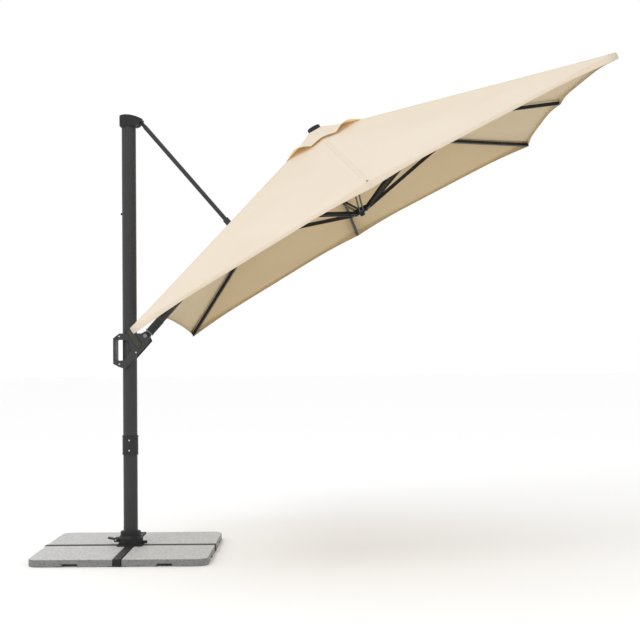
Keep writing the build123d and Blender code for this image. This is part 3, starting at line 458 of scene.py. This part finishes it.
def make_weave_group():
    """Plain weave, soft creases and a stitched seam along the rib, from the cloth's own map."""
    group = bpy.data.node_groups.new("plain_weave", "ShaderNodeTree")
    for label, value in (("Thread Scale", 450.0), ("Weave Depth", 0.06), ("Crease Depth", 0.11)):
        socket = group.interface.new_socket(label, in_out="INPUT", socket_type="NodeSocketFloat")
        socket.default_value = value
    group.interface.new_socket("Painted Crease Shade", in_out="OUTPUT", socket_type="NodeSocketFloat")
    group.interface.new_socket("Seam", in_out="OUTPUT", socket_type="NodeSocketFloat")
    group.interface.new_socket("Normal", in_out="OUTPUT", socket_type="NodeSocketVector")
    start = group.nodes.new("NodeGroupInput")
    end = group.nodes.new("NodeGroupOutput")
    cloth_map = group.nodes.new("ShaderNodeUVMap")
    cloth_map.uv_map = "cloth"
    place = group.nodes.new("ShaderNodeTexCoord")
    threads = []
    for direction in ("X", "Y"):
        wave = group.nodes.new("ShaderNodeTexWave")
        wave.bands_direction = direction
        link(group, cloth_map, "UV", wave, "Vector")
        link(group, start, "Thread Scale", wave, "Scale")
        threads.append(wave)
    weave = group.nodes.new("ShaderNodeMath")
    weave.operation = "MULTIPLY"
    link(group, threads[0], "Fac", weave, 0)
    link(group, threads[1], "Fac", weave, 1)
    creases = group.nodes.new("ShaderNodeTexNoise")
    creases.inputs["Scale"].default_value = 2.4
    creases.inputs["Detail"].default_value = 4.0
    creases.inputs["Distortion"].default_value = 0.6
    link(group, place, "Object", creases, "Vector")
    parts = group.nodes.new("ShaderNodeSeparateXYZ")
    link(group, cloth_map, "UV", parts, "Vector")
    away = group.nodes.new("ShaderNodeMath")
    away.operation = "ABSOLUTE"
    link(group, parts, "X", away, 0)
    seam = group.nodes.new("ShaderNodeMapRange")
    seam.inputs["From Min"].default_value = seam_half_width
    seam.inputs["From Max"].default_value = seam_half_width + seam_fade
    seam.inputs["To Min"].default_value = 1.0
    seam.inputs["To Max"].default_value = 0.0
    link(group, away, "Value", seam, "Value")
    crease_bump = group.nodes.new("ShaderNodeBump")
    crease_bump.inputs["Distance"].default_value = 0.02
    link(group, start, "Crease Depth", crease_bump, "Strength")
    link(group, creases, "Fac", crease_bump, "Height")
    weave_bump = group.nodes.new("ShaderNodeBump")
    weave_bump.inputs["Distance"].default_value = 0.0001
    link(group, start, "Weave Depth", weave_bump, "Strength")
    link(group, weave, "Value", weave_bump, "Height")
    link(group, crease_bump, "Normal", weave_bump, "Normal")
    seam_bump = group.nodes.new("ShaderNodeBump")
    seam_bump.inputs["Distance"].default_value = 0.0015
    seam_bump.inputs["Strength"].default_value = 0.8
    link(group, seam, "Result", seam_bump, "Height")
    link(group, weave_bump, "Normal", seam_bump, "Normal")
    # The crease noise also sets the cloth's colour: painted shade, darker in the creases' hollows and lighter
    # on their ridges.
    link(group, creases, "Fac", end, "Painted Crease Shade")
    link(group, seam, "Result", end, "Seam")
    link(group, seam_bump, "Normal", end, "Normal")
    return group


plain_weave = make_weave_group()


def cloth_finish(name, dark, light, seam_tint):
    finish = bpy.data.materials.new(name)
    finish.use_nodes = True
    tree = finish.node_tree
    shader = tree.nodes["Principled BSDF"]
    shader.inputs["Roughness"].default_value = 0.85
    shader.inputs["Sheen Weight"].default_value = 0.25
    shader.inputs["Sheen Roughness"].default_value = 0.5
    weave = tree.nodes.new("ShaderNodeGroup")
    weave.node_tree = plain_weave
    tone = tree.nodes.new("ShaderNodeMix")
    tone.data_type = "RGBA"
    tone.inputs["A"].default_value = (*dark, 1.0)
    tone.inputs["B"].default_value = (*light, 1.0)
    sewn = tree.nodes.new("ShaderNodeMix")
    sewn.data_type = "RGBA"
    sewn.blend_type = "MULTIPLY"
    sewn.inputs["B"].default_value = (*seam_tint, 1.0)
    # The colour follows the crease noise: painted shade in the creases' hollows.
    link(tree, weave, "Painted Crease Shade", tone, "Factor")
    link(tree, weave, "Seam", sewn, "Factor")
    link(tree, tone, "Result", sewn, "A")
    link(tree, sewn, "Result", shader, "Base Color")
    link(tree, weave, "Normal", shader, "Normal")
    return finish


cream_cloth = cloth_finish("cream_cloth", (0.66, 0.565, 0.44), (0.72, 0.625, 0.50), (0.975, 0.965, 0.95))
# The canopy's inside is painted: darker and warmer than the cream, standing in for the shade under the canopy
# and the light shining through the cloth.
inside_painted_shade_cloth = cloth_finish("inside_painted_shade_cloth", (0.475, 0.355, 0.185), (0.56, 0.43, 0.235), (0.90, 0.88, 0.85))
# The vent's inside is painted light: brighter and more golden, for the light shining through the cloth.
vent_inside_painted_glow = cloth_finish("vent_inside_painted_glow", (0.84, 0.62, 0.30), (0.92, 0.71, 0.38), (0.95, 0.94, 0.92))
# The vent is one thin layer with the sky behind it; its inside also gets a painted glow from emission,
# standing in for that light.
vent_painted_glow_shader = vent_inside_painted_glow.node_tree.nodes["Principled BSDF"]
vent_painted_glow_shader.inputs["Emission Color"].default_value = (0.85, 0.60, 0.25, 1.0)
vent_painted_glow_shader.inputs["Emission Strength"].default_value = 0.24
cloth_thickness = 0.0012


def finish_cloth(name, data, body, node, painted_inside):
    """Give a cloth mesh its thickness, its painted inside shading and its body."""
    piece = bpy.data.objects.new(name, data)
    bpy.context.collection.objects.link(piece)
    data.materials.append(cream_cloth)
    data.materials.append(painted_inside)
    wall = piece.modifiers.new("cloth_thickness", "SOLIDIFY")
    wall.thickness = cloth_thickness
    wall.offset = -1.0
    wall.material_offset = 1
    wall.use_even_offset = False
    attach(piece, body)
    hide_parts(node)
    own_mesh(piece)


rib_order = {
    "outer": (0, 315, 45),
    "outer_far": (45, 0, 90),
    "far": (90, 45, 135),
    "mast_far": (135, 90, 180),
    "mast_near": (225, 180, 270),
    "near": (270, 225, 315),
    "outer_near": (315, 270, 360),
}
for rib_name, (rib, before, after) in rib_order.items():
    gore = cloth_mesh(f"gore_{rib_name}", rib, before, after)
    finish_cloth(f"gore_{rib_name}", gore, f"rib_{rib_name}", f"cloth_{rib_name}",
                 inside_painted_shade_cloth)

# ---- Rim rivets ----
# A small dark rivet through the cloth at the end of each rib, over the rib's end piece.
rivet_radius = 0.0065
rivet_height = 0.0022
rivet_setback = 0.030
rivet_top = 0.7
rivet_edge = 0.0005
for rib_name, (rib, before, after) in rib_order.items():
    tip = rim_corner(rib)
    local = tip * (1 - rivet_setback / tip.length)
    rivet = bmesh.new()
    bmesh.ops.create_cone(rivet, cap_ends=True, segments=24, radius1=rivet_radius,
                          radius2=rivet_radius * rivet_top, depth=rivet_height)
    bmesh.ops.bevel(rivet, geom=list(rivet.edges), offset=rivet_edge, affect="EDGES", segments=2, profile=0.5,
                    material=-1)
    rivet_data = bpy.data.meshes.new(f"rivet_{rib_name}")
    rivet.to_mesh(rivet_data)
    rivet.free()
    outward = canopy_place(*tip) - apex
    sideways = canopy_far * cos(radians(rib)) - canopy_out * sin(radians(rib))
    lean = sideways.cross(outward).normalized()
    lean = lean if lean.dot(canopy_up) > 0 else -lean
    seat = canopy_place(*local) + lean * (cloth_lift + rivet_height / 2)
    rivet_data.transform(Matrix.Translation(seat) @ lean.to_track_quat("Z", "Y").to_matrix().to_4x4())
    rivet_piece = bpy.data.objects.new(f"rivet_{rib_name}", rivet_data)
    bpy.context.collection.objects.link(rivet_piece)
    rivet_data.materials.append(rib_enamel)
    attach(rivet_piece, f"rib_{rib_name}")

# ---- Vent tier ----
# A small square cover of the same cloth over the hole at the top, tacked down at the corners
# and twice along each side, so that its edge stands up in three arches that let the wind out.
vent_half = 0.245
vent_top = 0.0026
vent_flat = 0.040
vent_gap = 0.004
arch_heights = (0.032, 0.011, 0.032)
arch_ease = 1.2
side_arches = 0.3
vent_sag = 0.006
vent_start = 0.06
vent_rows = 18
vent_steps = 24


def vent_edge(slant):
    """The height of the vent's edge: slant is 0 at the middle of a side and 1 at a corner."""
    return vent_gap - vent_half / half_side * (middle_drop + (corner_drop - middle_drop) * slant)


def vent_point(side, along, share):
    """along runs from one corner to the next, share from the top to the edge."""
    across = vent_half * (2 * along - 1)
    edge = vent_edge(abs(2 * along - 1))
    third = min(2, int(along * 3))
    arch = arch_heights[third] * max(0.0, sin(pi * (along * 3 - third))) ** arch_ease
    arch *= side_arches if side % 180 == 0 else 1.0
    sloped = max(0.0, share - vent_flat / vent_half) / (1 - vent_flat / vent_half)
    height = vent_top + (edge - vent_top) * sloped + arch * share ** 3
    height -= vent_sag * sin(pi * sloped)
    turn = radians(side)
    x = vent_half * share
    y = across * share
    return Vector((x * cos(turn) - y * sin(turn), x * sin(turn) + y * cos(turn), height))


def vent_mesh(name, corner):
    """The quarter of the vent tier round one corner."""
    sheet = bmesh.new()
    map_layer = sheet.loops.layers.uv.new("cloth")
    columns = [(corner - 45, 0.5 + 0.5 * i / vent_steps) for i in range(vent_steps + 1)]
    columns += [(corner + 45, 0.5 * i / vent_steps) for i in range(1, vent_steps + 1)]
    places = {}
    grid = []
    for row in range(1, vent_rows + 1):
        share = max(vent_start, row / vent_rows)
        line = []
        for index, (side, along) in enumerate(columns):
            vertex = sheet.verts.new(canopy_place(*vent_point(side, along, share)))
            places[vertex] = ((index - vent_steps) / vent_steps * vent_half * share, share * vent_half)
            line.append(vertex)
        grid.append(line)
    return sewn_rows(name, sheet, map_layer, grid, places)


# One quarter, cut flat: two triangles between the top, a corner and the middle of a side, with
# fullness eased in for the arches.
for corner_name, corner in {"outer_far": 45, "mast_far": 135, "mast_near": 225, "outer_near": 315}.items():
    vent_data = vent_mesh(f"vent_{corner_name}", corner)
    finish_cloth(f"vent_{corner_name}", vent_data, f"rib_{corner_name}", "vent_canopy",
                 vent_inside_painted_glow)
